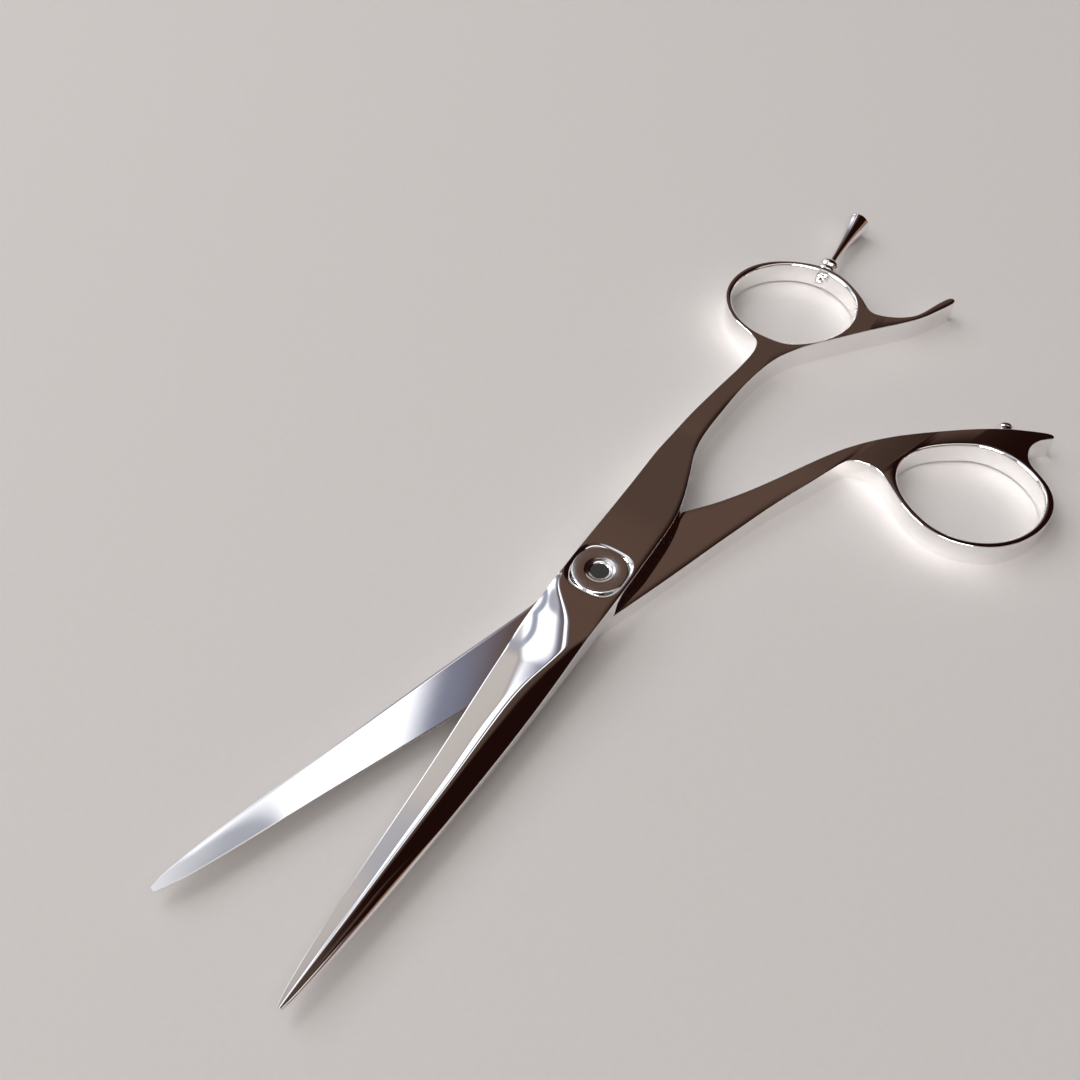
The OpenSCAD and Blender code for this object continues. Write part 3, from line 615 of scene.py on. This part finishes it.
nutp = [(0.5, -1.24), (1.15, -1.24), (1.25, -1.32), (1.25, -1.54), (1.17, -1.62), (0.9, -1.64)] + \
    [(0.93 * math.cos(a), -1.85 - 0.93 * math.sin(a)) for a in np.radians(np.arange(0, 90, 8))] + [(0, -2.78)]
ob = lathe("rest_cap_nut", nutp, REST, 64, 0)
finish_mesh(ob, 50); give(ob, M_REST, "finger_side", "rest_chrome", "rest_nut")

# ---------------------------------------------------------------- bumper
BUMP = place(LOW_A, (-75.33, 21.2, 2.3), (math.cos(math.radians(219.5)), math.sin(math.radians(219.5)), 0))
ob = lathe("bumper_ferrule", [(0.8, 0.15), (1.45, 0.15), (1.6, 0.3), (1.6, 1.4), (1.52, 1.48), (0.8, 1.49)], BUMP, 96, 0.05)
finish_mesh(ob, 40); give(ob, M_BUMP, "thumb_side", "bumper_chrome", "bumper_sleeve")
ob = lathe("bumper_cap_round", [(0, 1.5), (1.52, 1.5), (1.6, 1.58)] + [(0.5 + 1.1 * math.cos(a), 1.9 + 1.1 * math.sin(a)) for a in np.radians(np.arange(0, 91, 7.5))] + [(0, 3)], BUMP, 96, 0)
finish_mesh(ob, 40); give(ob, M_BUMP, "thumb_side", "bumper_cap", "bumper_pad")

# ---------------------------------------------------------------- hidden and underside pieces keep their CAD shape
for node, mat in {"head_washer": M_SLIP, "ride_washer": M_SLIP, "pivot_bush": M_BRONZE, "nut_washer": M_PLAIN, "spring_washer": M_SPRING,
                  "tension_nut": M_NUT, "rest_stud": M_PLAIN, "bumper_stud": M_PLAIN}.items():
    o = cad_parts[node]
    o.data.materials.clear()
    o.data.materials.append(mat)

# ---------------------------------------------------------------- floor
TURN = math.radians(-229.0)   # the studio's own axes against the row's


def studio(x, y, z):
    c, s = math.cos(TURN), math.sin(TURN)
    return Vector((x * c - y * s, x * s + y * c, z))


me = bpy.data.meshes.new("floor")
bm = bmesh.new()
g = 24
size = 5.0
grid = [[bm.verts.new((-size + 2 * size * i / g, -size + 2 * size * j / g, -0.00003)) for j in range(g + 1)] for i in range(g + 1)]
for i in range(g):
    for j in range(g):
        bm.faces.new((grid[i][j], grid[i + 1][j], grid[i + 1][j + 1], grid[i][j + 1]))
bm.to_mesh(me); bm.free()
floor = bpy.data.objects.new("floor", me)
bpy.context.scene.collection.objects.link(floor)
fm = bpy.data.materials.new("pale_board")
nt = clear(fm)
N, L = nt.nodes, nt.links
out = N.new("ShaderNodeOutputMaterial"); bs = N.new("ShaderNodeBsdfPrincipled"); L.new(bs.outputs[0], out.inputs[0])
co = N.new("ShaderNodeTexCoord"); n1 = N.new("ShaderNodeTexNoise"); n1.inputs["Scale"].default_value = 900; n1.inputs["Detail"].default_value = 5
L.new(co.outputs["Object"], n1.inputs["Vector"])
tint = N.new("ShaderNodeMix"); tint.data_type = "RGBA"
tint.inputs["A"].default_value = (0.575, 0.552, 0.541, 1); tint.inputs["B"].default_value = (0.605, 0.58, 0.568, 1)
L.new(n1.outputs["Fac"], tint.inputs["Factor"]); L.new(tint.outputs["Result"], bs.inputs["Base Color"])
bs.inputs["Roughness"].default_value = 0.75
bs.inputs["Specular IOR Level"].default_value = 0.2
bp = N.new("ShaderNodeBump"); bp.inputs["Strength"].default_value = 0.06; bp.inputs["Distance"].default_value = 0.0001
L.new(n1.outputs["Fac"], bp.inputs["Height"]); L.new(bp.outputs[0], bs.inputs["Normal"])
floor.data.materials.append(fm)

# ---------------------------------------------------------------- light
world = bpy.data.worlds.new("studio")
bpy.context.scene.world = world
world.use_nodes = True
nt = world.node_tree
nt.nodes.clear()
N, L = nt.nodes, nt.links
wout = N.new("ShaderNodeOutputWorld")
bg = N.new("ShaderNodeBackground")
L.new(bg.outputs[0], wout.inputs[0])
tc = N.new("ShaderNodeTexCoord")


def dirv(az, el):
    """studio direction: az degrees from the far side towards the right, el above the horizon"""
    a, e = math.radians(az), math.radians(el)
    return studio(math.sin(a) * math.cos(e), math.cos(a) * math.cos(e), math.sin(e))


def dot(v):
    n = N.new("ShaderNodeVectorMath"); n.operation = "DOT_PRODUCT"
    L.new(tc.outputs["Generated"], n.inputs[0]); n.inputs[1].default_value = v
    return n.outputs["Value"]


def step(sock, a, b):
    n = N.new("ShaderNodeMapRange"); n.interpolation_type = "SMOOTHSTEP"
    n.inputs["From Min"].default_value = a; n.inputs["From Max"].default_value = b
    L.new(sock, n.inputs["Value"])
    return n.outputs["Result"]


def math2(op, a, b):
    n = N.new("ShaderNodeMath"); n.operation = op
    for i, v in enumerate((a, b)):
        if isinstance(v, (int, float)):
            n.inputs[i].default_value = v
        else:
            L.new(v, n.inputs[i])
    return n.outputs[0]


def mixc(fac, a, b):
    n = N.new("ShaderNodeMix"); n.data_type = "RGBA"
    L.new(fac, n.inputs["Factor"])
    for key, v in (("A", a), ("B", b)):
        if isinstance(v, tuple):
            n.inputs[key].default_value = (*v, 1)
        else:
            L.new(v, n.inputs[key])
    return n.outputs["Result"]


def panel(az, el, w, h, roll=0.0, soft_=0.12):
    """mask of a soft box w by h degrees seen in that direction"""
    c = dirv(az, el)
    right = c.cross(Vector((0, 0, 1))).normalized()
    up = right.cross(c).normalized()
    r = math.radians(roll)
    u = right * math.cos(r) + up * math.sin(r)
    v = up * math.cos(r) - right * math.sin(r)
    tw, th = math.tan(math.radians(w / 2)), math.tan(math.radians(h / 2))
    front = dot(c)
    safe = math2("MAXIMUM", front, 0.02)
    du = math2("DIVIDE", dot(u), safe)
    dv = math2("DIVIDE", dot(v), safe)
    mu = step(math2("ABSOLUTE", du, 0), tw * (1 + soft_), tw * (1 - soft_))
    mv = step(math2("ABSOLUTE", dv, 0), th * (1 + soft_), th * (1 - soft_))
    m = math2("MULTIPLY", mu, mv)
    return math2("MULTIPLY", m, step(front, 0.02, 0.06))


elev = dot(Vector((0, 0, 1)))
base = mixc(step(elev, 0.30, 0.46), (0.58, 0.53, 0.50), (0.085, 0.052, 0.040))
glow = step(dot(dirv(-2, 54)), 0.972, 1.0)
base = mixc(glow, base, (0.108, 0.064, 0.047))
right_dark = step(dot(dirv(70, 38)), 0.755, 0.835)
base = mixc(right_dark, base, (0.012, 0.0035, 0.0025))
# a reddish brown side low on the right, seen in stripes by the rims and the finger rest
base = mixc(panel(112, 12, 84, 26, 0, 0.25), base, (0.30, 0.165, 0.12))
base = mixc(panel(100, 12, 9, 26, 0, 0.4), base, (0.05, 0.022, 0.016))
base = mixc(panel(126, 12, 7, 26, 0, 0.4), base, (0.07, 0.03, 0.02))
# soft boxes: a wide one low on the far left, a narrow one high ahead, a dim one above left
base = mixc(panel(-41, 39, 44, 32, 0, 0.38), base, (0.24, 0.25, 0.34))
base = mixc(panel(-46, 38.5, 34, 28, 0, 0.32), base, (1.7, 1.7, 1.75))
base = mixc(panel(-43, 40, 3.6, 44, 8, 0.6), base, (0.36, 0.38, 0.46))
base = mixc(step(dot(dirv(-60, 62)), 0.925, 0.945), base, (0.42, 0.43, 0.49))
base = mixc(step(dot(dirv(-60, 62)), 0.9537, 0.972), base, (0.85, 0.86, 0.9))
base = mixc(panel(-13.6, 61.6, 2.6, 19, 38, 0.55), base, (0.20, 0.21, 0.29))
base = mixc(panel(-17.2, 60.9, 3.3, 19, 38, 0.45), base, (1.8, 1.82, 1.9))
# behind the camera: a long strip high up, and brown wall under it
base = mixc(panel(180, 66, 80, 15, 0, 0.12), base, (1.3, 1.3, 1.3))
base = mixc(panel(180, 42, 90, 9, 0, 0.3), base, (0.45, 0.40, 0.38))
L.new(base, bg.inputs["Color"])
bg.inputs["Strength"].default_value = 1.0


def area(name, pos, target, w, h, power, color=(1, 1, 1), glossy=True):
    l = bpy.data.lights.new(name, "AREA")
    l.shape = "RECTANGLE"; l.size = w; l.size_y = h; l.energy = power; l.color = color
    o = bpy.data.objects.new(name, l)
    bpy.context.scene.collection.objects.link(o)
    o.location = pos
    o.rotation_euler = (Vector(target) - Vector(pos)).to_track_quat("-Z", "Y").to_euler()
    o.visible_glossy = glossy
    return o


area("key", studio(-0.7, 0.35, 0.85), (0, 0, 0), 0.95, 0.95, 6.2, (1, 0.99, 0.98), False)
area("fill", studio(-0.05, -0.1, 1.3), (0, 0, 0), 2.0, 2.0, 8.2, (1, 0.99, 0.98), False)
# two low boxes met only through the polished walls: they throw the soft glows on the board
for name, pos, w, h, power in (("front_low", (-0.28, -0.74, 0.52), 0.66, 0.33, 16.0), ("left_low", (-0.88, -0.05, 0.58), 0.5, 0.34, 14.0)):
    area(name, studio(*pos), (0, 0, 0), w, h, power, (1, 0.99, 0.98), True).visible_diffuse = False

# ---------------------------------------------------------------- camera
cam = bpy.data.cameras.new("camera")
cam.lens = 50
cam.sensor_width = 36
cam.clip_start = 0.01
cam_ob = bpy.data.objects.new("camera", cam)
bpy.context.scene.collection.objects.link(cam_ob)
cam_ob.location = studio(-0.009488, -0.144518, 0.195652)
cam_ob.rotation_euler = (math.radians(38.5), 0, math.radians(131))
bpy.context.scene.camera = cam_ob
bpy.context.scene.view_settings.view_transform = "Standard"
